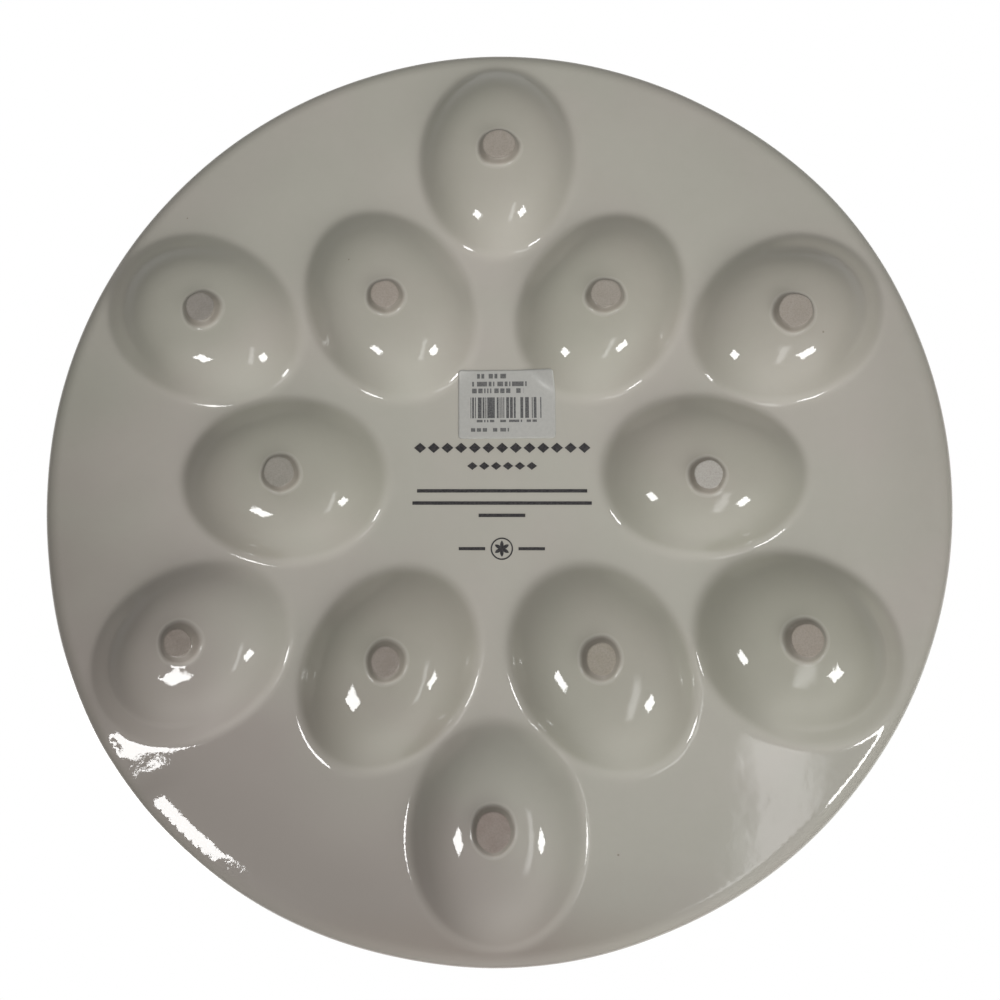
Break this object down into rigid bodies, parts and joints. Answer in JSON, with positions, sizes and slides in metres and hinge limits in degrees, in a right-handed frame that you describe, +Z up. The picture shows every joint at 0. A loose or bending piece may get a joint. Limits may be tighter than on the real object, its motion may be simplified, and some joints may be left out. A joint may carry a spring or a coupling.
{
  "type": "deviled egg platter",
  "caption": "Round glazed ceramic platter with rings of egg-shaped wells for serving halved filled eggs, standing on small bare feet under the wells",
  "frame": {"origin": "on the table, under the middle of the platter", "axes": "+Z up with the platter face up as it is used, +Y towards the outer well that is at the top when the back is looked at, +X completing the right-handed frame"},
  "size_m": [0.3048, 0.3048, 0.0228],
  "materials": {
    "glaze": "glossy clear glaze over a warm grey-white body, with faint mottling",
    "bisque": "matte unglazed fired clay",
    "label_paper": "smooth coated paper, slightly glossy",
    "stamp_ink": "dark fired-on print under the gloss of the glaze"
  },
  "bodies": {
    "root": {"deck_and_rim": "glaze", "egg_wells": "glaze", "foot_nubs": "bisque", "price_label": "label_paper", "backstamp_decal": "stamp_ink"}
  },
  "joints": []
}
